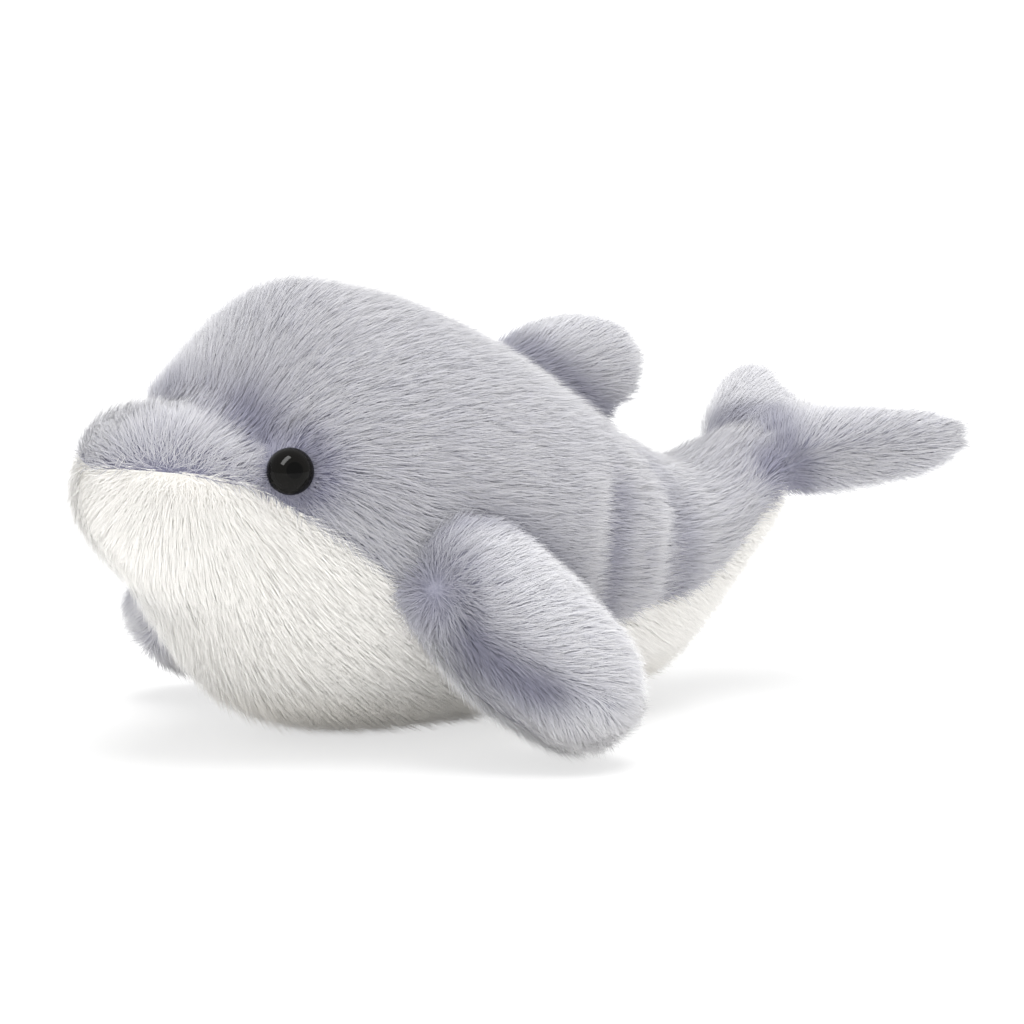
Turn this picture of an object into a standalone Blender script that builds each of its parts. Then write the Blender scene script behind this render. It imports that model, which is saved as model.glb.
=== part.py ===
"""A plush dolphin lying on its belly: a sewn skin of grey and white plush over a stuffed core.

Sizes are millimetres and degrees until the meshes are made, and the meshes are in metres.
The snout points along -Y, the toy's own left is +X and it lies on the plane z = 0.
"Back" is the distance behind the tip of the snout.
"""

import math
from collections import namedtuple

import bmesh
import bpy
from mathutils import Matrix, Vector
from mathutils.geometry import intersect_point_line

MM = 0.001

# Angles round the body start at its left side and go up over the crown
CROWN_ANGLE = 90.0
HALF_TURN = 180.0

# Clearances between pieces that touch
SEAT_GAP = 0.3
SEAM_GAP = 0.44

# Plush cloth: a knitted backing and the depth of the pile that lies on it
BACKING = 1.5
PILE = 6.5
SKIN = BACKING + PILE

# Body
BODY_LENGTH = 262.0
BODY_HEIGHT = 143.0
BODY_HALF_WIDTH = 72.0
SNOUT_BLUNTNESS = 22.0
TAIL_BLUNTNESS = 22.0

# Each station holds the body's section there: where it lies, how high its widest line, crown
# and keel stand above the floor, half its width, and how round its upper and lower halves are
# (2 is an ellipse, less comes to more of a ridge).
Station = namedtuple("Station", "name back middle crown keel half_width upper lower")
STATIONS = (
    Station("snout tip", 0, 90, 105, 62, 24, 2.0, 2.0),
    Station("lips", 14, 87, 107, 52, 35, 1.9, 2.0),
    Station("chin", 26, 86, 109, 44, 42, 1.85, 2.0),
    Station("brow notch", 36, 86, 111, 28, 49, 1.8, 2.0),
    Station("eyes", 48, 85, 123, 13, 57, 1.65, 1.95),
    Station("temples", 58, 83, 136, 6, 62, 1.65, 1.9),
    Station("forehead", 75, 77, BODY_HEIGHT, 1, 69, 1.7, 1.85),
    Station("flippers", 100, 68, 139, -2, BODY_HALF_WIDTH, 1.85, 1.85),
    Station("shoulders", 130, 58, 128, -2, 69, 1.9, 1.85),
    Station("dorsal fin", 165, 52, 107, -1, 59, 2.0, 1.9),
    Station("loins", 195, 49, 87, 3, 47, 2.0, 2.0),
    Station("waist", 220, 54, 77, 21, 37, 2.0, 2.0),
    Station("tail stock", 242, 64, 83, 43, 30, 2.0, 2.0),
    Station("tail end", BODY_LENGTH, 74, 94, 54, 27, 2.0, 2.0),
)

# The white upper lip stands forward of the grey snout above it.
LIP_BULGE = 3.5
LIP_HEIGHT = 73.0
LIP_SPREAD = 15.0
LIP_REACH = 40.0

# The seam between the grey back and the white belly: its angle from the widest line at each
# distance back, up being positive
SEAM = (
    (0, 8), (10, 16), (28, 4), (40, -6), (50, -11), (62, -16), (72, -21), (79, -31),
    (110, -34), (156, -21), (186, -13), (222, -10), (238, 2), (BODY_LENGTH, 6),
)

# A crease is a line on the body, as distances back and angles, with its depth and half its width.
Crease = namedtuple("Crease", "name line depth width")
CREASES = (
    Crease("brow", ((32, 90), (32, 76), (32, 62), (32, 50), (34, 41), (38, 31), (41, 26)), 4.5, 10),
    Crease("mouth", ((19, -39), (23, -32), (27, -25)), 1.8, 8),
    Crease("front waist fold", ((157, 24), (149, 6), (148, -12)), 4.5, 12),
    Crease("middle waist fold", ((169, 20), (162, 4), (161, -8)), 2.0, 9),
    Crease("rear waist fold", ((192, 32), (183, 10), (179, -9)), 4.0, 12),
)

Surface = namedtuple("Surface", "points normals creased rings")
CAP_RINGS = 4
FACE_RINGS = 6
FACE_END = 52.0
TRUNK_RINGS = 25
BACK_COLUMNS = 18
BELLY_COLUMNS = 12
COLUMNS = BACK_COLUMNS + BELLY_COLUMNS

# Eyes: a turned dome on a stem, pushed through the backing and held by a washer
EYE_BACK = 41.2
EYE_ANGLE = 13.0
EYE_TURN = 70.0
EYE_LIFT = 10.0
EYE_RADIUS = 7.1
EYE_DOME = 6.0
EYE_RIM = 1.2
EYE_PROUD = 2.6
STEM_RADIUS = 1.9
STEM_RIDGE = 0.45
STEM_PITCH = 1.3
STEM_RIDGES = 3
RIDGE_SLOPE = 0.45
STEM_POINT = 1.3
STEM_END = 2.6
WASHER_RADIUS = 6.0
WASHER_THICK = 1.6
CLOTH_UNDER_EYE = 1.3
CUT_PAST = 6.0
EYE_SEGMENTS = 20
SHARP_ANGLE = 50.0
DOME_RINGS = 5

# Sewn fins. A rib holds the middle of a fin's section, the reach from there to its leading edge,
# and the fin's thickness there.
Rib = namedtuple("Rib", "centre leading thickness")
FIN_SEGMENTS = 20
FIN_RINGS = 9
FIN_TIP_RINGS = 4
TIP_POINT = 1e-6
EDGE_SEAM_DEPTH = 0.16
EDGE_SEAM_WIDTH = 24.0

# The back fin flops over behind the middle of its root, from which its ribs are measured.
DORSAL_BACK = 167.0
DORSAL_TIP = 15.0
DORSAL_RIBS = (
    Rib((0, -8, -20), (0, -29, 17), 26),
    Rib((0, -2, -11), (0, -27, 17), 29),
    Rib((0, 6, -2), (0, -21, 18), 30),
    Rib((0, 18, 3), (0, -11, 19), 30),
    Rib((0, 30, 4), (0, -4, 17), 28),
    Rib((0, 40, 2), (0, 0, 15), 25),
)

# A flipper's shape is its chord and thickness at each distance from its root. Its path is measured
# from the middle of its root, and its chord turns from one leading way to another along it.
FLIPPER_BACK = 98.0
FLIPPER_ANGLE = -10.0
FLIPPER_TIP = 20.0
FLIPPER_SHAPE = ((0, 44, 38), (16, 54, 45), (36, 60, 49), (58, 58, 45), (84, 48, 36))
LEFT_FLIPPER_PATH = ((-15, -8, 7), (3, 3, -15), (17, 20, -34), (26, 37, -48))
LEFT_FLIPPER_LEADING = ((0.55, -0.8, -0.12), (0.62, -0.76, -0.14))
RIGHT_FLIPPER_PATH = ((21, -4, 11), (-3, -6, -17), (-15, -10, -38), (-21, -20, -50))
RIGHT_FLIPPER_LEADING = ((-0.4, -0.9, -0.1), (-0.3, -0.9, -0.2))

# The flukes are one pouch from tip to tip, measured from the end of the tail for the left half.
FLUKE_TIP = 13.0
FLUKE_ROLL = 4.0
FLUKE_HALF = (
    Rib((0, -2, 2), (0, -22, -7), 26),
    Rib((16, 2, 3), (0, -24, -8), 28),
    Rib((27, 8, 5), (0, -22, -7), 28),
    Rib((40, 19, 8), (0, -17, -5), 26),
    Rib((54, 31, 10), (0, -13, -4), 23),
)

GREY_PLUSH = ("grey_plush", (0.52, 0.53, 0.58), 0.95)
WHITE_PLUSH = ("white_plush", (0.86, 0.84, 0.8), 0.95)
FILLING = ("polyester_filling", (0.9, 0.9, 0.88), 1.0)
EYE_PLASTIC = ("eye_plastic", (0.013, 0.01, 0.008), 0.12)
WASHER_PLASTIC = ("washer_plastic", (0.75, 0.75, 0.73), 0.5)


def clear_scene():
    for item in list(bpy.data.objects):
        bpy.data.objects.remove(item)


def eased(knots, at):
    """A smooth curve through (place, value) knots that never overshoots them."""
    places = [k[0] for k in knots]
    values = [k[1] for k in knots]
    if at <= places[0]:
        return values[0]
    if at >= places[-1]:
        return values[-1]
    steps = [b - a for a, b in zip(places, places[1:])]
    rises = [(d - c) / s for c, d, s in zip(values, values[1:], steps)]
    slopes = [rises[0]]
    for before, after in zip(rises, rises[1:]):
        same_way = before * after > 0
        slopes.append(2 * before * after / (before + after) if same_way else 0.0)
    slopes.append(rises[-1])
    i = max(k for k in range(len(steps)) if places[k] <= at)
    t = (at - places[i]) / steps[i]
    h = steps[i]
    return (
        (1 + 2 * t) * (1 - t) ** 2 * values[i]
        + t * (1 - t) ** 2 * h * slopes[i]
        + t * t * (3 - 2 * t) * values[i + 1]
        + t * t * (t - 1) * h * slopes[i + 1]
    )


def eased_vector(places, vectors, at):
    return Vector([eased(list(zip(places, axis)), at) for axis in zip(*vectors)])


def rounding(distance, reach):
    """Rises from 0 at a blunt end to 1 at its reach, as a quarter of an ellipse does."""
    if distance >= reach:
        return 1.0
    return math.sqrt(max(0.0, 1 - (1 - distance / reach) ** 2))


def evenly(start, end, steps):
    return [start + (end - start) * (i + 1) / steps for i in range(steps)]


# Body


def column(field):
    return [(s.back, getattr(s, field)) for s in STATIONS]


def body_point(back, angle):
    """A point of the body's outer surface. The angle turns from the left side over the crown."""
    turn = math.radians(angle)
    across, rise = math.cos(turn), math.sin(turn)
    share = rounding(back, SNOUT_BLUNTNESS) * rounding(BODY_LENGTH - back, TAIL_BLUNTNESS)
    middle = eased(column("middle"), back)
    if rise > 0:
        power = 2 / eased(column("upper"), back)
        reach = eased(column("crown"), back) - middle
    else:
        power = 2 / eased(column("lower"), back)
        reach = middle - eased(column("keel"), back)
    wide = eased(column("half_width"), back)
    x = math.copysign(wide * share * abs(across) ** power, across)
    z = middle + math.copysign(reach * share * abs(rise) ** power, rise)
    nearness = max(0.0, 1 - back / LIP_REACH)
    lip = LIP_BULGE * nearness * math.exp(-(((z - LIP_HEIGHT) / LIP_SPREAD) ** 2))
    return Vector((x, back - lip, max(z, 0.0)))


def crease_lines():
    """Each crease on both sides of the body, as points with the crease's depth and width."""
    lines = []
    for crease in CREASES:
        for mirrored in (False, True):
            spots = [body_point(b, HALF_TURN - a if mirrored else a) for b, a in crease.line]
            lines.append((spots, crease.depth, crease.width))
    return lines


def crease_depth(point, lines):
    deepest = 0.0
    for spots, depth, width in lines:
        nearest = width
        for start, end in zip(spots, spots[1:]):
            foot, share = intersect_point_line(point, start, end)
            foot = start if share < 0 else end if share > 1 else foot
            nearest = min(nearest, (point - foot).length)
        deepest = max(deepest, depth * (0.5 + 0.5 * math.cos(math.pi * nearest / width)))
    return deepest


def ring_places():
    """Where the body's rings lie: close together at the blunt ends and over the face."""
    turns = [math.pi / 2 * (i + 1) / CAP_RINGS for i in range(CAP_RINGS)]
    snout = [SNOUT_BLUNTNESS * (1 - math.cos(t)) for t in turns]
    tail = [BODY_LENGTH - TAIL_BLUNTNESS * (1 - math.cos(t)) for t in reversed(turns)]
    face = evenly(snout[-1], FACE_END, FACE_RINGS)
    return snout + face + evenly(FACE_END, tail[0], TRUNK_RINGS)[:-1] + tail


def ring_angles(back):
    """Columns up and over the grey back from the left seam, then round the white belly."""
    seam = eased(SEAM, back)
    over = [seam + (HALF_TURN - 2 * seam) * j / BACK_COLUMNS for j in range(BACK_COLUMNS)]
    under = [
        HALF_TURN - seam + (HALF_TURN + 2 * seam) * j / BELLY_COLUMNS for j in range(BELLY_COLUMNS)
    ]
    return over + under


def spot(ring, col):
    """The number of a point of the body: the snout's tip is 0 and the rings follow it."""
    return 1 + ring * COLUMNS + col % COLUMNS


def ring_faces(rings, columns, at, tip, end):
    """Triangles facing out over some columns of the body, closed to a point at both ends."""
    faces = []
    for a, b in zip(columns, columns[1:]):
        faces.append((tip, at(0, a), at(0, b)))
        for i in range(rings - 1):
            faces.append((at(i, a), at(i + 1, a), at(i + 1, b)))
            faces.append((at(i, a), at(i + 1, b), at(i, b)))
        faces.append((at(rings - 1, a), end, at(rings - 1, b)))
    return faces


def body_surface():
    """The body's smooth surface, its normals, the same surface with its creases, and its rings."""
    places = ring_places()
    points = [body_point(0, 0)]
    for back in places:
        points += [body_point(back, angle) for angle in ring_angles(back)]
    points.append(body_point(BODY_LENGTH, 0))
    rings = len(places)
    faces = ring_faces(rings, range(COLUMNS + 1), spot, 0, len(points) - 1)
    normals = normals_of(points, faces)
    lines = crease_lines()
    creased = [p - n * crease_depth(p, lines) for p, n in zip(points, normals)]
    creased = [Vector((p.x, p.y, max(p.z, 0.0))) for p in creased]
    return Surface(points, normals, creased, rings)


def normals_of(points, faces):
    work = bmesh.new()
    verts = [work.verts.new(p) for p in points]
    for face in faces:
        work.faces.new([verts[i] for i in face])
    work.normal_update()
    normals = [v.normal.copy() for v in verts]
    work.free()
    return normals


def seam_shift(surface, edge, beside):
    """Half the seam's gap for each point along one seam, towards the column beside it."""
    points, normals, rings = surface.points, surface.normals, surface.rings
    trail = [0] + [spot(i, edge) for i in range(rings)] + [len(points) - 1]
    shifts = {}
    for i in range(rings):
        here = trail[i + 1]
        across = (points[trail[i + 2]] - points[trail[i]]).cross(normals[here]).normalized()
        if across.dot(points[spot(i, beside)] - points[here]) < 0:
            across = -across
        shifts[here] = across * SEAM_GAP / 2
    return shifts


def skin(name, columns, surface, side, material):
    """One plush panel of the body: its outer face, its inner face and its two seam edges."""
    rings = surface.rings
    last = len(surface.points) - 1
    at_ends = Vector((0, 0, side * SEAM_GAP / 2))
    shifts = {0: at_ends, last: at_ends}
    shifts.update(seam_shift(surface, columns[0], columns[1]))
    shifts.update(seam_shift(surface, columns[-1], columns[-2]))
    used = [0] + [spot(i, c) for i in range(rings) for c in columns] + [last]
    number = {old: new for new, old in enumerate(used)}
    move = [shifts.get(i, Vector()) for i in used]
    outer = [surface.creased[i] + m for i, m in zip(used, move)]
    inner = [surface.points[i] - surface.normals[i] * SKIN + m for i, m in zip(used, move)]
    faces = ring_faces(rings, columns, lambda i, c: number[spot(i, c)], 0, number[last])
    depth = len(used)
    faces += [tuple(depth + v for v in reversed(face)) for face in faces]
    for edge, forward in ((columns[0], False), (columns[-1], True)):
        trail = [0] + [number[spot(i, edge)] for i in range(rings)] + [number[last]]
        for a, b in zip(trail, trail[1:]):
            wall = [(a, b, b + depth), (a, b + depth, a + depth)]
            faces += wall if forward else [tuple(reversed(face)) for face in wall]
    return make_object(name, Vector(), outer + inner, faces, material)


def whole_body(name, points, surface, inset, material):
    """The whole body as one closed solid, set in from the given points."""
    moved = [p - n * inset for p, n in zip(points, surface.normals)]
    faces = ring_faces(surface.rings, range(COLUMNS + 1), spot, 0, len(points) - 1)
    return make_object(name, Vector(), moved, faces, material)


# Fins


def tip_places(length, reach, both_ends):
    """Distances along a fin, close together where it rounds off."""
    turns = [math.pi / 2 * i / FIN_TIP_RINGS for i in range(FIN_TIP_RINGS)]
    end = [length - reach * (1 - math.cos(t)) for t in turns]
    end.reverse()
    end = [p for p in end if p < length] + [length]
    first = reach if both_ends else 0.0
    between = [first + (end[0] - first) * i / FIN_RINGS for i in range(FIN_RINGS)]
    start = [reach * (1 - math.cos(t)) for t in turns] if both_ends else []
    return start + between + end


def fin(name, root, ribs, tip_reach, both_ends=False):
    """A stuffed pouch of two panels sewn together round its edge, lofted through its ribs."""
    centres = [Vector(r.centre) for r in ribs]
    at = distances(centres)
    leads = [r.leading for r in ribs]
    thick = list(zip(at, [r.thickness for r in ribs]))
    length = at[-1]
    rings = []
    for place in tip_places(length, tip_reach, both_ends):
        share = rounding(length - place, tip_reach)
        if both_ends:
            share *= rounding(place, tip_reach)
        centre = eased_vector(at, centres, place)
        ahead = eased_vector(at, centres, place + 1) - eased_vector(at, centres, place - 1)
        lead = eased_vector(at, leads, place)
        up = ahead.cross(lead).normalized() * eased(thick, place) / 2
        rings.append(fin_ring(centre, lead, up, share, -root.z))
    return make_lofted(name, root, rings, both_ends)


def fin_ring(centre, lead, up, share, floor):
    """One section of a fin: two bulged panels with a valley where their edges are sewn."""
    if share < TIP_POINT:
        return [centre]
    ring = []
    for k in range(FIN_SEGMENTS):
        turn = 2 * HALF_TURN * k / FIN_SEGMENTS
        off_seam = min(turn % HALF_TURN, HALF_TURN - turn % HALF_TURN)
        pinch = 1 - EDGE_SEAM_DEPTH * math.exp(-((off_seam / EDGE_SEAM_WIDTH) ** 2))
        angle = math.radians(turn)
        point = centre + (lead * math.cos(angle) + up * math.sin(angle)) * share * pinch
        ring.append(Vector((point.x, point.y, max(point.z, floor))))
    return ring


def make_lofted(name, root, rings, both_ends):
    points = [p for ring in rings for p in ring]
    starts = [sum(len(r) for r in rings[:i]) for i in range(len(rings))]
    faces = []
    for i in range(len(rings) - 1):
        a, b = starts[i], starts[i + 1]
        for k in range(FIN_SEGMENTS):
            n = (k + 1) % FIN_SEGMENTS
            if len(rings[i]) == 1:
                faces.append((a, b + k, b + n))
            elif len(rings[i + 1]) == 1:
                faces.append((a + k, b, a + n))
            else:
                faces.append((a + k, b + k, b + n, a + n))
    if not both_ends:
        faces.append(tuple(range(FIN_SEGMENTS)))
    return make_object(name, root, points, faces, GREY_PLUSH)


def distances(spots):
    """How far along a line of points each one lies."""
    at = [0.0]
    for a, b in zip(spots, spots[1:]):
        at.append(at[-1] + (b - a).length)
    return at


def flipper_ribs(path, leading):
    """A flipper's shape laid along a path."""
    spots = [Vector(p) for p in path]
    at = distances(spots)
    reach = FLIPPER_SHAPE[-1][0]
    ribs = []
    for distance, chord, thickness in FLIPPER_SHAPE:
        share = distance / reach
        place = share * at[-1]
        ahead = eased_vector(at, spots, place + 1) - eased_vector(at, spots, place - 1)
        lead = Vector(leading[0]).lerp(Vector(leading[1]), share)
        lead -= lead.project(ahead)
        ribs.append(Rib(eased_vector(at, spots, place), lead.normalized() * chord / 2, thickness))
    return ribs


def fluke_ribs():
    """Both halves of the flukes, leaning a little to one side about the tail."""
    lean = Matrix.Rotation(math.radians(FLUKE_ROLL), 3, "Y")
    mirror = Vector((-1, 1, 1))
    right = [Rib(Vector(r.centre) * mirror, r.leading, r.thickness) for r in FLUKE_HALF[:0:-1]]
    return [
        Rib(lean @ Vector(r.centre), lean @ Vector(r.leading), r.thickness)
        for r in right + list(FLUKE_HALF)
    ]


# Eyes


def eye_frame(side):
    """The place of an eye on the body's surface and the way in through the skin."""
    here = body_point(EYE_BACK, EYE_ANGLE)
    turn, lift = math.radians(EYE_TURN), math.radians(EYE_LIFT)
    out = Vector((math.sin(turn) * math.cos(lift), -math.cos(turn) * math.cos(lift), math.sin(lift)))
    mirror = Vector((side, 1, 1))
    return here * mirror, -out * mirror


# Depths below the fur's surface: the eye's rim and foot, the cloth's inner face at the washer,
# the washer's two faces and the stem's end
RIM = EYE_DOME - EYE_PROUD
FOOT = RIM + EYE_RIM
SEAT = FOOT + SEAT_GAP + CLOTH_UNDER_EYE
WASHER_TOP = SEAT + SEAT_GAP
WASHER_BOTTOM = WASHER_TOP + WASHER_THICK
STEM_FOOT = WASHER_BOTTOM + STEM_END
STEM_HOLE = STEM_RADIUS + STEM_RIDGE + SEAT_GAP


def eye_profile():
    turns = [math.pi / 2 * i / DOME_RINGS for i in range(DOME_RINGS + 1)]
    profile = [(EYE_RADIUS * math.sin(t), RIM - EYE_DOME * math.cos(t)) for t in turns]
    profile += [(EYE_RADIUS, FOOT), (STEM_RADIUS, FOOT)]
    for i in range(STEM_RIDGES):
        top = STEM_FOOT - STEM_PITCH * (STEM_RIDGES - i)
        profile += [(STEM_RADIUS, top), (STEM_RADIUS + STEM_RIDGE, top + RIDGE_SLOPE)]
    return profile + [(STEM_POINT, STEM_FOOT), (0, STEM_FOOT)]


def washer_profile():
    return [
        (STEM_HOLE, WASHER_TOP), (WASHER_RADIUS, WASHER_TOP),
        (WASHER_RADIUS, WASHER_BOTTOM), (STEM_HOLE, WASHER_BOTTOM),
    ]


def skin_cut_profile():
    """What an eye takes out of the skin: a pocket in the pile, the stem's hole and a flat seat."""
    pocket = EYE_RADIUS + SEAT_GAP
    seat_radius = WASHER_RADIUS + SEAT_GAP
    pocket_floor = FOOT + SEAT_GAP
    return [
        (0, -CUT_PAST), (pocket, -CUT_PAST), (pocket, pocket_floor), (STEM_HOLE, pocket_floor),
        (STEM_HOLE, SEAT), (seat_radius, SEAT), (seat_radius, STEM_FOOT + CUT_PAST),
        (0, STEM_FOOT + CUT_PAST),
    ]


def filling_cut_profile():
    """What the washer and the stem's end take out of the stuffing."""
    clear = WASHER_RADIUS + SEAT_GAP
    under_washer = WASHER_BOTTOM + SEAT_GAP
    return [
        (0, 0), (clear, 0), (clear, under_washer), (STEM_HOLE, under_washer),
        (STEM_HOLE, STEM_FOOT + SEAT_GAP), (0, STEM_FOOT + SEAT_GAP),
    ]


def turned(name, profile, frame, material, open_ring=False):
    """A solid of revolution: (radius, depth) points turned about the way in from a place."""
    place, inward = frame
    side = inward.cross(Vector((0, 0, 1))).normalized()
    other = inward.cross(side)
    points = []
    loops = []
    for radius, depth in profile:
        loops.append((len(points), radius > 0))
        for k in range(EYE_SEGMENTS if radius > 0 else 1):
            turn = 2 * math.pi * k / EYE_SEGMENTS
            out = (side * math.cos(turn) + other * math.sin(turn)) * radius
            points.append(inward * depth + out)
    pairs = list(zip(loops, loops[1:]))
    if open_ring:
        pairs.append((loops[-1], loops[0]))
    faces = []
    for (a, a_ring), (b, b_ring) in pairs:
        for k in range(EYE_SEGMENTS):
            n = (k + 1) % EYE_SEGMENTS
            corners = [a + k * a_ring, b + k * b_ring, b + n * b_ring, a + n * a_ring]
            faces.append(tuple(dict.fromkeys(corners)))
    return make_object(name, place, points, faces, material)


# Objects


def make_material(name, colour, roughness):
    material = bpy.data.materials.get(name)
    if material:
        return material
    material = bpy.data.materials.new(name)
    material.use_nodes = True
    shader = material.node_tree.nodes["Principled BSDF"]
    shader.inputs["Base Color"].default_value = (*colour, 1.0)
    shader.inputs["Roughness"].default_value = roughness
    shader.inputs["Metallic"].default_value = 0.0
    material.diffuse_color = (*colour, 1.0)
    return material


def make_object(name, place, points, faces, material):
    """A closed object in metres that faces out, and a hidden one if it has no material."""
    work = bmesh.new()
    verts = [work.verts.new(p * MM) for p in points]
    for face in faces:
        work.faces.new([verts[i] for i in face])
    bmesh.ops.recalc_face_normals(work, faces=work.faces)
    mesh = bpy.data.meshes.new(name)
    work.to_mesh(mesh)
    work.free()
    obj = bpy.data.objects.new(name, mesh)
    obj.location = place * MM
    bpy.context.scene.collection.objects.link(obj)
    if material:
        mesh.materials.append(make_material(*material))
        mesh.shade_smooth()
        mesh.set_sharp_from_angle(angle=math.radians(SHARP_ANGLE))
    else:
        obj.hide_render = True
        obj.display_type = "WIRE"
    return obj


def cut(target, cutter):
    modifier = target.modifiers.new(cutter.name, "BOOLEAN")
    modifier.operation = "DIFFERENCE"
    modifier.solver = "EXACT"
    modifier.object = cutter


def centre_on_floor():
    """Hangs every object on an empty, with the middle of the part's underside at the origin."""
    bpy.context.view_layer.update()
    graph = bpy.context.evaluated_depsgraph_get()
    corners = []
    for obj in bpy.data.objects:
        if not obj.hide_render:
            solid = obj.evaluated_get(graph)
            corners += [obj.matrix_world @ Vector(c) for c in solid.bound_box]
    lows = [min(c[i] for c in corners) for i in range(3)]
    highs = [max(c[i] for c in corners) for i in range(3)]
    hub = bpy.data.objects.new("plush_dolphin", None)
    hub.location = (-(lows[0] + highs[0]) / 2, -(lows[1] + highs[1]) / 2, -lows[2])
    for obj in list(bpy.data.objects):
        if obj != hub:
            obj.parent = hub
    bpy.context.scene.collection.objects.link(hub)


def main():
    clear_scene()
    surface = body_surface()
    over = list(range(BACK_COLUMNS + 1))
    under = list(range(BACK_COLUMNS, COLUMNS + 1))
    back_skin = skin("back_skin", over, surface, 1, GREY_PLUSH)
    skin("belly_skin", under, surface, -1, WHITE_PLUSH)
    core = SKIN + SEAT_GAP
    stuffing = whole_body("stuffing", surface.points, surface, core, FILLING)
    for side, label in ((1, "left"), (-1, "right")):
        frame = eye_frame(side)
        turned(label + "_eye", eye_profile(), frame, EYE_PLASTIC)
        turned(label + "_eye_washer", washer_profile(), frame, WASHER_PLASTIC, open_ring=True)
        cut(back_skin, turned(label + "_eye_pocket", skin_cut_profile(), frame, None))
        cut(stuffing, turned(label + "_washer_recess", filling_cut_profile(), frame, None))
    room = whole_body("body_with_clearance", surface.creased, surface, -SEAT_GAP, None)
    crown = body_point(DORSAL_BACK, CROWN_ANGLE)
    cut(fin("dorsal_fin", crown, DORSAL_RIBS, DORSAL_TIP), room)
    left_root = body_point(FLIPPER_BACK, FLIPPER_ANGLE)
    left = flipper_ribs(LEFT_FLIPPER_PATH, LEFT_FLIPPER_LEADING)
    cut(fin("left_flipper", left_root, left, FLIPPER_TIP), room)
    right_root = body_point(FLIPPER_BACK, HALF_TURN - FLIPPER_ANGLE)
    right = flipper_ribs(RIGHT_FLIPPER_PATH, RIGHT_FLIPPER_LEADING)
    cut(fin("right_flipper", right_root, right, FLIPPER_TIP), room)
    tail = body_point(BODY_LENGTH, 0)
    cut(fin("tail_flukes", tail, fluke_ribs(), FLUKE_TIP, both_ends=True), room)
    centre_on_floor()


if __name__ == "__main__":
    main()
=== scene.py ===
"""A plush dolphin lying on its belly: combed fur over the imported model's soft solids.

Everything is in metres in the model's own frame. The snout points along -Y, the toy's own left
is +X, and it lies on the plane z = 0.
"""

import math

import bmesh
import bpy
import numpy as np
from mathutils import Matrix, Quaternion, Vector
from mathutils.bvhtree import BVHTree


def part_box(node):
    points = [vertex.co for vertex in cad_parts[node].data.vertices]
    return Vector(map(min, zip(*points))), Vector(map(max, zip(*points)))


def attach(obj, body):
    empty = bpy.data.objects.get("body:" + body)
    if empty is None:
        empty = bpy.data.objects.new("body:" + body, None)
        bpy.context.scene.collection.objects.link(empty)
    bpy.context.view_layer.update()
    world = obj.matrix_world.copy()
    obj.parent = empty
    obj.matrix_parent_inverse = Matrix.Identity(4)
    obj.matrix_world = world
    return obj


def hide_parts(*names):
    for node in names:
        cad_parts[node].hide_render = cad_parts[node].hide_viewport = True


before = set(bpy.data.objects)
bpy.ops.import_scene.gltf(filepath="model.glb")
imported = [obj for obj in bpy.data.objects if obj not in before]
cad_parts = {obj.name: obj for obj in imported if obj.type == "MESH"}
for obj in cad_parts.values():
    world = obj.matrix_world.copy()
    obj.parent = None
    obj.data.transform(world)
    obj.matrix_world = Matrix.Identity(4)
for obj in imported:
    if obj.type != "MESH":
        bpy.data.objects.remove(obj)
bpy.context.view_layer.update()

MM = 0.001
MERGE = 0.01 * MM

# Camera, as the photograph was taken, with its angles in degrees
VIEW_TURN = 54.5
VIEW_RISE = 8.2
VIEW_DISTANCE = 1650 * MM
VIEW_AIM = Vector((-3.8, 0.4, 60)) * MM
VIEW_ASIDE = 5.44 * MM
VIEW_ABOVE = 3.58 * MM
SENSOR = 36.0
LENS = 184.5

# The place that all lamps shine at, the sun in watts a square metre and the others in watts,
# with angles in degrees
HEAD = Vector((45, -110, 90)) * MM
SUN_STRENGTH = 3.55
SUN_SPREAD = 50
FRONT_FILL = 6.0
REAR_FILL = 5.0
FILL_SIZE = 0.9
SOFT_BOX = 14.0
SOFT_BOX_SIZE = (0.85, 0.3)
SOFT_BOX_ROLL = 68

# The even light from all round, and the share of its own white that the floor shows the camera
SKY_LIGHT = 0.74
FLOOR_GLOW = 0.68

# Pile: its depth over the cloth on the body and where it is shortest, and the share of it on a
# fin and at a fin's sewn root
PILE = 4.7 * MM
SHORTEST_PILE = 3.2 * MM
FIN_SHARE = 0.85
ROOT_SHARE = 0.4

# Cloth and filling: the cloth's thickness and its clearance from the filling, how close to the
# filling a skin's inner face lies, and how far the filling is drawn in, also under the eyes
BACKING = 0.8 * MM
CORE_CLEARANCE = 1.0 * MM
INNER_FACE = 2.5 * MM
FILLING_IN = 1.0 * MM
FILLING_SEAT = 0.6 * MM

# Strands: their length as a multiple of the pile's depth, and how much of a strand's own facing
# is added to the skin's in its shading
FUR_PER_SQUARE_M = 4.3e6
FUR_LENGTH = 2.15
FUR_WIDTH = 0.18 * MM
SKIN_TO_STRAND = 0.25
FLOOR_CLEARANCE = 0.2 * MM

# How far a fin, a seam, a whorl, a fan's middle and the flukes' root change the fur near them:
# all of them paint shade into its colour, a seam also makes it shorter and looser, and a whorl
# also turns it
FIN_PAINTED_SHADE_REACH = 5 * MM
SEAM_REACH = 4 * MM
WHORL_REACH = 12 * MM
FAN_SHADE_REACH = 13 * MM
FLUKE_SHADE_REACH = 11 * MM

# Eyes, with the heights over the washer's middle between which the cloth lies under an eye
EYE_RADIUS = 7.1 * MM
EYE_DOME = 6.0 * MM
EYE_RIM = 1.2 * MM
EYE_BEVEL = 0.25 * MM
EYE_STEM = 1.9 * MM
EYE_SEAT = (1.9 * MM, 2.5 * MM)
EYE_POCKET = EYE_RADIUS + 0.55 * MM
EYE_EDGE = EYE_RADIUS + 1.5 * MM
EYE_TURNS = 64
EYE_RINGS = 16

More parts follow.
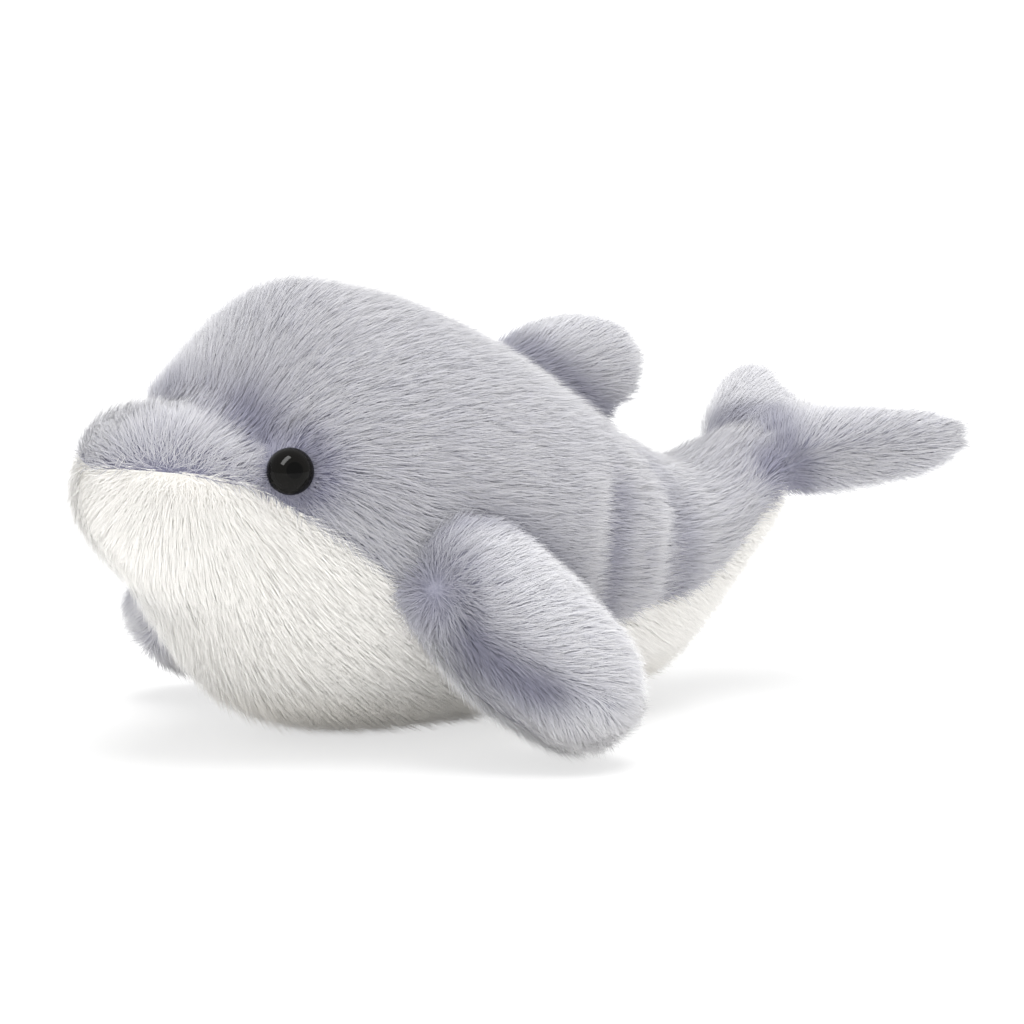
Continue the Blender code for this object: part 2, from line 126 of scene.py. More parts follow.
# How far from the washer's middle the cloth's pocket, the cloth's edge and the fur of an eye can
# lie, and how far from the eye's line the fur turns away from it: in full up to the first
# distance, and less up to the second
POCKET_REACH = 14 * MM
EYE_REACH = 20 * MM
EYE_FUR_REACH = 30 * MM
EYE_COMBED = (8 * MM, 15 * MM)

SNOUT_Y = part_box("belly_skin")[0].y

# Whorls and partings of the fur on the toy's left side, mirrored for its right side
SNOUT_WHORL = Vector((19.0, -136.0, 82.0)) * MM
LIP_WHORL = Vector((17.0, -126.0, 101.0)) * MM
FLUKE_WHORL = Vector((21.5, 88.0, 69.5)) * MM
# The middle of the shade painted on the back at the flukes' root
FLUKE_ROOT_SHADE = Vector((18.0, 93.0, 70.0)) * MM
DORSAL_WHORL = Vector((-3.8, -4.0, 102.0)) * MM

# Fins: the middle of the root, the tip, the way to the leading edge where the fur parts, and
# how far the cloth stays back from the tip
FINS = {
    "dorsal_fin": (Vector((-3.8, 5, 100)) * MM, Vector((-3.8, 57, 105)) * MM, None, 2.5 * MM),
    "left_flipper": (
        Vector((67.4, -71.0, 54.6)) * MM, Vector((107, -30, 17)) * MM,
        Vector((0.4, -0.78, -0.48)), 2.5 * MM,
    ),
    "right_flipper": (
        Vector((-75.0, -68, 60)) * MM, Vector((-92, -65, 10)) * MM,
        Vector((-0.14, -0.97, 0.19)), 2.5 * MM,
    ),
    "tail_flukes": (Vector((-3.8, 100, 70)) * MM, Vector((-3.8, 130, 80)) * MM, None, 1.5 * MM),
}

# A fin's root: how close to the body it lies, how far it is pushed in and how deep a skin lies
# under it where no fur grows, and how far a fin's cloth stays over the floor
ROOTED = 1.0 * MM
ROOT_PUSH = 0.5 * MM
ROOT_COVER = 11 * MM
FIN_FLOOR = 0.5 * MM

# A flipper's seam valley, in mm: how far ahead of the line from root to tip it runs at each
# distance from the root, how deep and wide its dip is, how wide the shade painted along it is at
# each distance, and how far the fur turns from that line ahead of the valley and behind it
VALLEY = ((0, 0), (9, 5), (17.5, 8.9), (28, 10.1), (39, 9.2), (47, 7.3), (53, 3.4), (66, -4))
VALLEY_DEPTH = 3.5 * MM
VALLEY_SLOPE = 4
VALLEY_PAINTED_SHADE = ((0, 4.5), (20, 3), (45, 1.8))
LEADING_TURN = ((0, 2.6), (15, 2.4), (35, 1.9), (55, 1.0), (70, 0.2))
TRAILING_TURN = ((0, 1.5), (20, 1.3), (40, 1.1), (60, 0.5), (70, 0.1))

# Folds in the grey plush, along which shade is painted into the fur: how far back from the
# snout's tip each lies at each height, in mm, and how deep the painted shade is. The brow's lies
# equally far back at every height.
BROW_BACK = 41.0
BROW_WIDTH = 6
WAIST_WIDTH = 5
WAIST_FOLDS = (
    (((34, 147), (46, 148.8), (61, 151.7), (72, 157.5)), 0.6),
    (((38, 186), (50, 188), (62, 189.5), (71, 187), (80, 182)), 0.45),
)


# Meshes


def merged_copy(node):
    """A copy of a CAD node's mesh with its loose triangles joined."""
    work = bmesh.new()
    work.from_mesh(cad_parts[node].data)
    bmesh.ops.remove_doubles(work, verts=work.verts, dist=MERGE)
    return work


def tree_of(node):
    """A search tree over a CAD node's mesh."""
    work = merged_copy(node)
    tree = BVHTree.FromBMesh(work)
    work.free()
    return tree


def middle_of(node):
    """The mean place of a CAD node's corners."""
    work = merged_copy(node)
    middle = sum((v.co for v in work.verts), Vector()) / len(work.verts)
    work.free()
    return middle


MIDDLE_X = (middle_of("left_eye").x + middle_of("right_eye").x) / 2


def mirrored(place):
    """The same place on the toy's other side."""
    return Vector((2 * MIDDLE_X - place[0], place[1], place[2]))


def object_of(name, mesh):
    obj = bpy.data.objects.new(name, mesh)
    bpy.context.scene.collection.objects.link(obj)
    return obj


def mesh_object(name, work):
    mesh = bpy.data.meshes.new(name)
    work.to_mesh(mesh)
    work.free()
    mesh.shade_smooth()
    return object_of(name, mesh)


def baked(obj):
    """The object's mesh with its modifiers applied, which then has none."""
    bpy.context.view_layer.update()
    graph = bpy.context.evaluated_depsgraph_get()
    mesh = bpy.data.meshes.new_from_object(obj.evaluated_get(graph))
    obj.modifiers.clear()
    old = obj.data
    obj.data = mesh
    bpy.data.meshes.remove(old)
    mesh.name = obj.name
    return obj


def smoothed(obj, levels):
    subdivision = obj.modifiers.new("smooth", "SUBSURF")
    subdivision.levels = levels
    subdivision.render_levels = levels
    return baked(obj)


def places_of(mesh):
    places = np.empty(len(mesh.vertices) * 3, np.float32)
    mesh.vertices.foreach_get("co", places)
    return places.reshape(-1, 3).astype(float)


def normals_of(mesh):
    normals = np.empty(len(mesh.vertices) * 3, np.float32)
    mesh.vertex_normals.foreach_get("vector", normals)
    return normals.reshape(-1, 3).astype(float)


def store(mesh, name, values):
    """Keeps one number or one vector for each corner under a name that the fur reads."""
    if values.ndim == 2:
        attribute = mesh.attributes.new(name, "FLOAT_VECTOR", "POINT")
        attribute.data.foreach_set("vector", values.astype(np.float32).ravel())
    else:
        attribute = mesh.attributes.new(name, "FLOAT", "POINT")
        attribute.data.foreach_set("value", values.astype(np.float32))


def stepped(low, high, values):
    """0 below low, 1 above high and smooth between them."""
    t = np.clip((values - low) / (high - low), 0, 1)
    return t * t * (3 - 2 * t)


def along_surface(flow, normals):
    """Directions laid flat on the surface, each of length 1."""
    flow = flow - normals * (flow * normals).sum(1, keepdims=True)
    return flow / np.maximum(np.linalg.norm(flow, axis=1, keepdims=True), 1e-6)


# Materials


def shader_of(name):
    material = bpy.data.materials.new(name)
    material.use_nodes = True
    return material, material.node_tree, material.node_tree.nodes["Principled BSDF"]


def node_in(tree, kind, inputs, **settings):
    """A node with its settings made and its inputs set or linked."""
    node = tree.nodes.new(kind)
    for key, value in settings.items():
        setattr(node, key, value)
    for key, value in inputs.items():
        if isinstance(key, int):
            socket = node.inputs[key]
        else:
            socket = next(s for s in node.inputs if s.name == key and s.enabled)
        if isinstance(value, bpy.types.NodeSocket):
            tree.links.new(value, socket)
        else:
            socket.default_value = value
    return node


def out_of(node, name=None):
    """A node's output by its name, or its first one in use."""
    return next(s for s in node.outputs if s.enabled and name in (None, s.name))


def mixed(tree, share, first, second, blend="MIX"):
    node = node_in(
        tree, "ShaderNodeMix", {"Factor": share, "A": first, "B": second},
        data_type="RGBA", blend_type=blend,
    )
    return out_of(node)


def fitted(tree, value, low, high, to_low, to_high):
    node = node_in(
        tree, "ShaderNodeMapRange",
        {"Value": value, "From Min": low, "From Max": high, "To Min": to_low, "To Max": to_high},
    )
    return out_of(node)


def plush_fur(name, root, tip, patch, fold, low):
    """Fur with pale tips and slow changes, deeper and bluer at its roots, partly its own colour
    and partly painted shade of the deep pile. Shade is painted where the skins store it, and a
    warm bounce light is painted near the floor.
    """
    material, tree, shader = shader_of(name)
    along = out_of(node_in(tree, "ShaderNodeAttribute", {}, attribute_name="along"), "Fac")
    strand = out_of(node_in(tree, "ShaderNodeAttribute", {}, attribute_name="strand"), "Fac")
    painted_shade_share = out_of(node_in(tree, "ShaderNodeAttribute", {}, attribute_name="fold"), "Fac")
    place = out_of(node_in(tree, "ShaderNodeTexCoord", {}), "Object")
    slow = node_in(tree, "ShaderNodeTexNoise", {"Vector": place, "Scale": 28.0, "Detail": 2.0})
    # Deeper and bluer towards the roots: partly the fur's own colour, partly painted shade of the
    # deep pile
    colour = mixed(tree, fitted(tree, along, 0.0, 0.9, 0.0, 1.0), (*root, 1), (*tip, 1))
    patchy = fitted(tree, out_of(slow, "Fac"), 0.42, 0.7, 0.0, 0.4)
    colour = mixed(tree, patchy, colour, (*patch, 1))
    # Painted shade in creases, round the eyes and beside the fins
    colour = mixed(tree, fitted(tree, painted_shade_share, 0.0, 1.0, 0.0, 0.8), colour, (*fold, 1))
    # Painted warm bounce light from the floor, strongest at the floor and gone 20 mm up
    height = out_of(node_in(tree, "ShaderNodeSeparateXYZ", {0: place}), "Z")
    colour = mixed(tree, fitted(tree, height, 0.0, 20 * MM, 0.5, 0.0), colour, (*low, 1))
    bright = fitted(tree, strand, 0.0, 1.0, 0.9, 1.08)
    shade = node_in(tree, "ShaderNodeVectorMath", {0: colour, "Scale": bright}, operation="SCALE")
    tree.links.new(out_of(shade), shader.inputs["Base Color"])
    shader.inputs["Roughness"].default_value = 0.9
    shader.inputs["Specular IOR Level"].default_value = 0.15
    shader.inputs["Sheen Weight"].default_value = 0.9
    shader.inputs["Sheen Roughness"].default_value = 0.45
    return material


def plush_backing(name, root, deep):
    """The short dense pile and knitted cloth under the fur."""
    material, tree, shader = shader_of(name)
    place = out_of(node_in(tree, "ShaderNodeTexCoord", {}), "Object")
    fine = node_in(tree, "ShaderNodeTexNoise", {"Vector": place, "Scale": 900.0, "Detail": 3.0})
    share = fitted(tree, out_of(fine, "Fac"), 0.35, 0.65, 0.0, 1.0)
    tree.links.new(mixed(tree, share, (*deep, 1), (*root, 1)), shader.inputs["Base Color"])
    bump = node_in(
        tree, "ShaderNodeBump",
        {"Strength": 0.5, "Distance": 0.4 * MM, "Height": out_of(fine, "Fac")},
    )
    tree.links.new(out_of(bump), shader.inputs["Normal"])
    shader.inputs["Roughness"].default_value = 0.95
    shader.inputs["Specular IOR Level"].default_value = 0.1
    return material


def eye_plastic():
    """A glossy eye: a black pupil on top of the dome and a very dark brown iris round it."""
    material, tree, shader = shader_of("glossy_eye")
    reach = out_of(node_in(tree, "ShaderNodeAttribute", {}, attribute_name="reach"), "Fac")
    pupil = fitted(tree, reach, 0.33, 0.38, 0.0, 1.0)
    rim = fitted(tree, reach, 0.8, 0.98, 0.0, 1.0)
    colour = mixed(tree, pupil, (0.0003, 0.0003, 0.0003, 1), (0.0036, 0.0033, 0.0028, 1))
    colour = mixed(tree, rim, colour, (0.0015, 0.0014, 0.0012, 1))
    tree.links.new(colour, shader.inputs["Base Color"])
    shader.inputs["Roughness"].default_value = 0.06
    shader.inputs["Specular IOR Level"].default_value = 0.1
    return material


def washer_plastic():
    material, tree, shader = shader_of("washer_plastic")
    place = out_of(node_in(tree, "ShaderNodeTexCoord", {}), "Object")
    fine = node_in(tree, "ShaderNodeTexNoise", {"Vector": place, "Scale": 400.0})
    share = fitted(tree, out_of(fine, "Fac"), 0.3, 0.7, 0.0, 1.0)
    colour = mixed(tree, share, (0.035, 0.035, 0.037, 1), (0.05, 0.05, 0.052, 1))
    tree.links.new(colour, shader.inputs["Base Color"])
    shader.inputs["Roughness"].default_value = 0.5
    return material


# Fur


def strand_shape():
    """One strand of length 1 along +X that rises towards +Z and is widest before its middle."""
    work = bmesh.new()
    root = work.verts.new((0.0, 0.0, 0.0))
    sides = [work.verts.new((0.4, half, 0.22)) for half in (-0.5, 0.5)]
    tip = work.verts.new((0.95, 0.0, 0.37))
    work.faces.new((root, sides[0], sides[1]))
    work.faces.new((sides[1], sides[0], tip))
    obj = mesh_object("strand", work)
    store(obj.data, "along", np.array([0.0, 0.42, 0.42, 1.0]))
    return obj


def fur_tree():
    """Strands over a skin: combed, waved, drawn together in locks and kept off the floor."""
    tree = bpy.data.node_groups.new("fur", "GeometryNodeTree")
    sockets = (
        ("Skin", "Geometry"), ("Strand", "Object"), ("Per Square Metre", "Float"),
        ("Length", "Float"), ("Width", "Float"), ("Wave", "Float"), ("Stray", "Float"),
        ("Lock Size", "Float"), ("Lock Pull", "Float"), ("Front", "Float"), ("Rear", "Float"),
        ("Seed", "Int"), ("Plush", "Material"),
    )
    for name, kind in sockets:
        tree.interface.new_socket(name, in_out="INPUT", socket_type="NodeSocket" + kind)
    tree.interface.new_socket("Fur", in_out="OUTPUT", socket_type="NodeSocketGeometry")
    given = tree.nodes.new("NodeGroupInput").outputs

    def number(kind, a, b=None):
        inputs = {0: a} if b is None else {0: a, 1: b}
        return out_of(node_in(tree, "ShaderNodeMath", inputs, operation=kind))

    def vector(kind, a, b=None):
        inputs = {0: a} if b is None else {0: a, 1: b}
        return out_of(node_in(tree, "ShaderNodeVectorMath", inputs, operation=kind))

    def scaled(a, by):
        node = node_in(tree, "ShaderNodeVectorMath", {0: a, "Scale": by}, operation="SCALE")
        return out_of(node)

    def named(name, kind="FLOAT_VECTOR"):
        return out_of(
            node_in(tree, "GeometryNodeInputNamedAttribute", {"Name": name}, data_type=kind)
        )

    def chance(low, high, salt, kind="FLOAT"):
        seed = number("ADD", given["Seed"], salt)
        return out_of(
            node_in(
                tree, "FunctionNodeRandomValue", {"Min": low, "Max": high, "Seed": seed},
                data_type=kind,
            )
        )

    def kept(geometry, name, value, kind, domain):
        node = node_in(
            tree, "GeometryNodeStoreNamedAttribute",
            {"Geometry": geometry, "Name": name, "Value": value}, data_type=kind, domain=domain,
        )
        return out_of(node)

    here = out_of(node_in(tree, "GeometryNodeInputPosition", {}))
    y = out_of(node_in(tree, "ShaderNodeSeparateXYZ", {0: here}), "Y")
    within = number("MULTIPLY", number("GREATER_THAN", y, given["Front"]),
                    number("LESS_THAN", y, given["Rear"]))
    density = number("MULTIPLY", given["Per Square Metre"], named("cover", "FLOAT"))
    spread = node_in(
        tree, "GeometryNodeDistributePointsOnFaces",
        {"Mesh": given["Skin"], "Selection": within, "Density": density, "Seed": given["Seed"]},
        distribute_method="RANDOM",
    )
    roots = kept(out_of(spread, "Points"), "root", here, "FLOAT_VECTOR", "POINT")
    roots = kept(roots, "strand", chance(0.0, 1.0, 11), "FLOAT", "POINT")
    outward = named("out")
    noise = node_in(tree, "ShaderNodeTexNoise", {"Vector": here, "Scale": 75.0, "Detail": 1.5})
    wave = vector("SUBTRACT", out_of(noise, "Color"), (0.5, 0.5, 0.5))
    stray = chance((-1, -1, -1), (1, 1, 1), 23, "FLOAT_VECTOR")
    heading = vector("ADD", named("comb"), scaled(wave, given["Wave"]))
    loose = number("ADD", given["Stray"], named("loose", "FLOAT"))
    heading = vector("ADD", heading, scaled(stray, loose))
    facing = node_in(
        tree, "FunctionNodeAxesToRotation", {0: outward, 1: heading},
        primary_axis="Z", secondary_axis="X",
    )
    sway = node_in(
        tree, "ShaderNodeCombineXYZ",
        {0: chance(-0.4, 0.4, 37), 1: chance(-0.22, 0.22, 41), 2: 0.0},
    )
    turn = node_in(tree, "FunctionNodeEulerToRotation", {0: out_of(sway)})
    turned = node_in(
        tree, "FunctionNodeRotateRotation", {0: out_of(facing), 1: out_of(turn)},
        rotation_space="LOCAL",
    )
    length = number("MULTIPLY", named("pile", "FLOAT"), given["Length"])
    length = number("MULTIPLY", length, chance(0.72, 1.18, 53))
    width = number("MULTIPLY", given["Width"], chance(0.7, 1.3, 59))
    size = node_in(tree, "ShaderNodeCombineXYZ", {0: length, 1: width, 2: length})
    shape = node_in(tree, "GeometryNodeObjectInfo", {"Object": given["Strand"]})
    strands = node_in(
        tree, "GeometryNodeInstanceOnPoints",
        {"Points": roots, "Instance": out_of(shape, "Geometry"), "Rotation": out_of(turned),
         "Scale": out_of(size)},
    )
    real = node_in(tree, "GeometryNodeRealizeInstances", {"Geometry": out_of(strands)})
    root = named("root")
    locks = node_in(
        tree, "ShaderNodeTexVoronoi",
        {"Vector": root, "Scale": number("DIVIDE", 1.0, given["Lock Size"])},
        voronoi_dimensions="3D", feature="F1",
    )
    pull = vector("SUBTRACT", out_of(locks, "Position"), root)
    lifted = node_in(
        tree, "ShaderNodeVectorMath", {0: pull, 1: outward}, operation="DOT_PRODUCT"
    )
    pull = vector("SUBTRACT", pull, scaled(outward, out_of(lifted, "Value")))
    along = named("along", "FLOAT")
    share = number("MULTIPLY", number("MULTIPLY", along, along), given["Lock Pull"])
    moved = vector("ADD", here, scaled(pull, share))
    clear = vector("MAXIMUM", moved, (-9.0, -9.0, FLOOR_CLEARANCE))
    laid = node_in(tree, "GeometryNodeSetPosition", {"Geometry": out_of(real), "Position": clear})
    own = out_of(node_in(tree, "GeometryNodeInputNormal", {}), "Normal")
    soft = vector("NORMALIZE", vector("ADD", outward, scaled(own, SKIN_TO_STRAND)))
    shaded = node_in(
        tree, "GeometryNodeSetMeshNormal", {"Mesh": out_of(laid), "Custom Normal": soft},
        mode="FREE", domain="POINT",
    )
    coat = node_in(
        tree, "GeometryNodeSetMaterial", {"Geometry": out_of(shaded), "Material": given["Plush"]}
    )
    tree.links.new(out_of(coat), tree.nodes.new("NodeGroupOutput").inputs[0])
    return tree


def grow_fur(name, skin, tree, inputs):
    """A piece of fur on part of a skin, as a plain mesh."""
    fur = object_of(name, skin.data.copy())
    modifier = fur.modifiers.new("fur", "NODES")
    modifier.node_group = tree
    sockets = {item.name: item.identifier for item in tree.interface.items_tree}
    for key, value in inputs.items():
        modifier[sockets[key]] = value
    baked(fur)
    for key in ("comb", "pile", "cover", "root", "out", "loose"):
        if key in fur.data.attributes:
            fur.data.attributes.remove(fur.data.attributes[key])
    return fur


# The body's skins


def eye_axis(side):
    """A point on the eye's own line and the way out of the head along it."""
    eye, washer = middle_of(side + "_eye"), middle_of(side + "_eye_washer")
    return washer, (eye - washer).normalized()


def off_axis(places, axis):
    """Each place's distance from an eye's line, and its direction away from it."""
    start, way = np.array(axis[0]), np.array(axis[1])
    apart = places - start
    apart = apart - np.outer(apart @ way, way)
    distance = np.linalg.norm(apart, axis=1)
    return distance, apart / np.maximum(distance, 1e-6)[:, None]


def off_line(place, start, way):
    """A place's distance from an eye's line."""
    apart = place - start
    return (apart - way * apart.dot(way)).length


def skin_sheet(name, node, core, eyes):
    """The outer face of a body skin, sunk to the cloth that its fur grows from."""
    work = merged_copy(node)
    inner = [v for v in work.verts if core.find_nearest(v.co)[3] < INNER_FACE]
    bmesh.ops.delete(work, geom=inner, context="VERTS")
    pocket = []
    for start, way in eyes:
        for face in work.faces:
            middle = face.calc_center_median()
            near = (middle - start).length < POCKET_REACH
            if near and off_line(middle, start, way) < EYE_POCKET:
                pocket.append(face)
    bmesh.ops.delete(work, geom=list(set(pocket)), context="FACES")
    for start, way in eyes:
        rim = [e for e in work.edges if e.is_boundary]
        rim = [e for e in rim if (e.verts[0].co - start).length < EYE_REACH]
        rim = [e for e in rim if off_line(e.verts[0].co, start, way) < 2 * EYE_RADIUS]
        bmesh.ops.triangulate(work, faces=bmesh.ops.holes_fill(work, edges=rim, sides=0)["faces"])
    bmesh.ops.recalc_face_normals(work, faces=work.faces)
    work.normal_update()
    depth = [min(PILE, core.find_nearest(v.co)[3] - CORE_CLEARANCE) for v in work.verts]
    sunk = [v.co - v.normal * d for v, d in zip(work.verts, depth)]
    layer = work.verts.layers.float.new("pile")
    for v, place, d in zip(work.verts, sunk, depth):
        v.co = place
        v[layer] = max(d, SHORTEST_PILE)
    for start, way in eyes:
        for v in work.verts:
            near = (v.co - start).length < EYE_REACH
            if near and off_line(v.co, start, way) < EYE_EDGE:
                height = (v.co - start).dot(way)
                seat = min(max(height, EYE_SEAT[0]), EYE_SEAT[1])
                v.co += way * (seat - height)
    return smoothed(mesh_object(name, work), 2)


def fibre_filling(eyes):
    """The stuffing, drawn in a little so that it stays under the cloth and the eyes."""
    work = merged_copy("stuffing")
    work.normal_update()
    for v, place in [(v, v.co - v.normal * FILLING_IN) for v in work.verts]:
        v.co = place
    for start, way in eyes:
        for v in work.verts:
            height = (v.co - start).dot(way)
            near = (v.co - start).length < EYE_REACH
            if near and height > FILLING_SEAT and off_line(v.co, start, way) < 2 * EYE_RADIUS:
                v.co += way * (FILLING_SEAT - height)
    return smoothed(mesh_object("filling", work), 1)


def near_to(trees, places, reach):
    """1 where another piece touches and 0 where the nearest one is further than its reach."""
    close = np.zeros(len(places))
    for i, place in enumerate(places):
        apart = [tree.find_nearest(Vector(place), 3 * reach)[3] for tree in trees]
        apart = [a for a in apart if a is not None]
        if apart:
            close[i] = math.exp(-((min(apart) / reach) ** 2))
    return close


def cover_and_comb(skin, flow, fins, eyes, fold, other):
    """Stores on a skin which way its fur lies, how long it is and where none grows.

    The fur turns away from the eyes and is shorter beside them. None grows under a fin's root,
    and it is shorter and looser along the seam with the other skin. It also stores the shade
    painted into the fur's colour in the skin's creases, round the eyes and beside the fins.
    """
    mesh = skin.data
    places, normals = places_of(mesh), normals_of(mesh)
    pile = np.empty(len(places), np.float32)
    mesh.attributes["pile"].data.foreach_get("value", pile)
    cover = np.ones(len(places))
    flow = flow(places)
    # Painted shade in the skin's creases and beside the fins
    fold = np.maximum(fold(places), 0.8 * near_to(fins, places, FIN_PAINTED_SHADE_REACH))
    for axis in eyes:
        distance, away = off_axis(places, axis)
        far = np.linalg.norm(places - np.array(axis[0]), axis=1) > EYE_FUR_REACH
        near = 1 - stepped(*EYE_COMBED, distance)
        near[far] = 0
        flow = flow + away * (near * 1.1)[:, None]
        pile = pile * (1 - 0.5 * near)
        # Painted shade round the eye's rim
        dark = 0.8 * np.exp(-((np.maximum(distance - EYE_RADIUS, 0) / (5 * MM)) ** 2))
        dark[far] = 0
        fold = np.maximum(fold, dark)
    for fin in fins:
        for i, (place, normal) in enumerate(zip(places, normals)):
            reach = fin.ray_cast(Vector(place), Vector(normal), ROOT_COVER)
            if reach[0] is not None:
                cover[i] = 0.0
    seam = near_to([other], places, SEAM_REACH)
    pile = pile * (1 - 0.35 * seam)
    cover = cover * (1 - 0.5 * stepped(0.5, 0.9, -normals[:, 2]))
    store(mesh, "out", normals)
    store(mesh, "comb", along_surface(flow, normals))
    store(mesh, "cover", cover)
    store(mesh, "fold", fold)
    lip = 1 - stepped(35 * MM, 60 * MM, places[:, 1] - SNOUT_Y)
    store(mesh, "loose", (0.45 + 0.4 * lip) * seam)
    mesh.attributes["pile"].data.foreach_set("value", pile.astype(np.float32))


def fan(places, whorl):
    """Directions away from a whorl and from its mirrored one, whichever side a place is on."""
    left = stepped(-10 * MM, 10 * MM, places[:, 0] - MIDDLE_X)[:, None]
    ways = []
    apart = []
    for centre in (whorl, mirrored(whorl)):
        way = places - np.array(centre)
        apart.append(np.linalg.norm(way, axis=1))
        ways.append(way / np.maximum(apart[-1], 1e-6)[:, None])
    return ways[0] * left + ways[1] * (1 - left), np.minimum(*apart)


def back_flow(places):
    """The grey fur fans up over the snout and then lies towards the tail."""
    back = (places[:, 1] - SNOUT_Y) / MM
    side = np.clip((places[:, 0] - MIDDLE_X) / (60 * MM), -1, 1)
    ones = np.ones(len(side))
    height = places[:, 2] / MM
    cheek = np.exp(-(((back - 58) / 24) ** 2)) * (1 - stepped(74, 104, height))
    rise = 0.12 - 0.25 * np.abs(side) + 0.7 * stepped(195, 235, back) - 0.55 * cheek
    flow = np.stack([0.1 * side, ones, rise], 1)
    snout, _ = fan(places, SNOUT_WHORL)
    share = (1 - stepped(30, 46, back))[:, None]
    flow = flow * (1 - share) + snout * share
    root, apart = fan(places, FLUKE_WHORL)
    share = 0.5 * np.exp(-((apart / WHORL_REACH) ** 2))[:, None]
    return flow * (1 - share) + root * share


def back_painted_shade(places):
    """Painted shade where the grey plush is drawn in: at the brow, the waist and the root of the
    flukes.
    """
    back = (places[:, 1] - SNOUT_Y) / MM
    height = places[:, 2] / MM
    side = np.abs(places[:, 0] - MIDDLE_X) / MM
    # Painted shade along the brow's crease and the waist's creases
    folds = np.exp(-(((back - BROW_BACK) / BROW_WIDTH) ** 2)) * stepped(87, 96, height)
    folds = folds * (0.35 + 0.65 * stepped(6, 22, side))
    for line, depth in WAIST_FOLDS:
        heights, at = zip(*line)
        apart = back - np.interp(height, heights, at)
        inside = stepped(heights[0] - 6, heights[0], height)
        inside = inside * (1 - stepped(heights[-1], heights[-1] + 10, height))
        folds = np.maximum(folds, depth * np.exp(-((apart / WAIST_WIDTH) ** 2)) * inside)
    # Painted shade on the back at the flukes' root
    _, apart = fan(places, FLUKE_ROOT_SHADE)
    return np.maximum(folds, np.exp(-((apart / FLUKE_SHADE_REACH) ** 2)))


def belly_flow(places):
    """The white fur fans down from the snout's whorls and then lies back and down."""
    side = np.clip((places[:, 0] - MIDDLE_X) / (60 * MM), -1, 1)
    ones = np.ones(len(side))
    flow = np.stack([0.15 * side, 0.75 * ones, -0.5 * ones], 1)
    lip, apart = fan(places, LIP_WHORL)
    share = (1 - stepped(30 * MM, 80 * MM, apart))[:, None]
    return flow * (1 - share) + lip * share


def belly_painted_shade(places):
    """The white plush gets no painted shade in creases."""
    return np.zeros(len(places))


# Fins


def fin_pouch(name, node, body_trees, shrunk):
    """A fin sunk to its cloth, with its sewn root pushed into the body's fur."""
    work = merged_copy(node)
    work.normal_update()
    layer = work.verts.layers.float.new("pile")
    root_layer = work.verts.layers.float.new("rooted")
    moved = []
    for v in work.verts:
        place, _, _, near = min((t.find_nearest(v.co) for t in body_trees), key=lambda f: f[3])
        rooted = near < ROOTED
        if rooted:
            inward = (place - v.co).normalized() if near > MERGE else -v.normal
            moved.append((v.co + inward * (PILE + ROOT_PUSH), PILE * ROOT_SHARE, 1.0))
        else:
            moved.append((v.co - v.normal * PILE * FIN_SHARE, PILE * FIN_SHARE, 0.0))
    for v, (place, depth, rooted) in zip(work.verts, moved):
        place = shrunk(place)
        v.co = Vector((place.x, place.y, max(place.z, FIN_FLOOR)))
        v[layer] = depth
        v[root_layer] = rooted
    return smoothed(mesh_object(name, work), 2)


def drawn_in(root, tip, by):
    """Draws a fin's cloth back from its tip, which the fur there makes up."""
    way = (tip - root).normalized()
    reach = (tip - root).length

    def shrunk(place):
        share = min(max((place - root).dot(way) / reach, 0), 1)
        return place - way * by * share

    return shrunk


def rooted_on(mesh):
    """1 at a fin's sewn root and 0 elsewhere, smooth between them."""
    rooted = np.empty(len(mesh.vertices), np.float32)
    mesh.attributes["rooted"].data.foreach_get("value", rooted)
    return rooted


def comb(mesh, flow, normals, fold):
    """Stores on a fin which way its fur lies and where shade is painted on it. None grows at its
    root.
    """
    store(mesh, "out", normals)
    store(mesh, "comb", along_surface(flow, normals))
    store(mesh, "cover", 1.0 - stepped(0.5, 0.95, rooted_on(mesh)))
    store(mesh, "fold", fold)


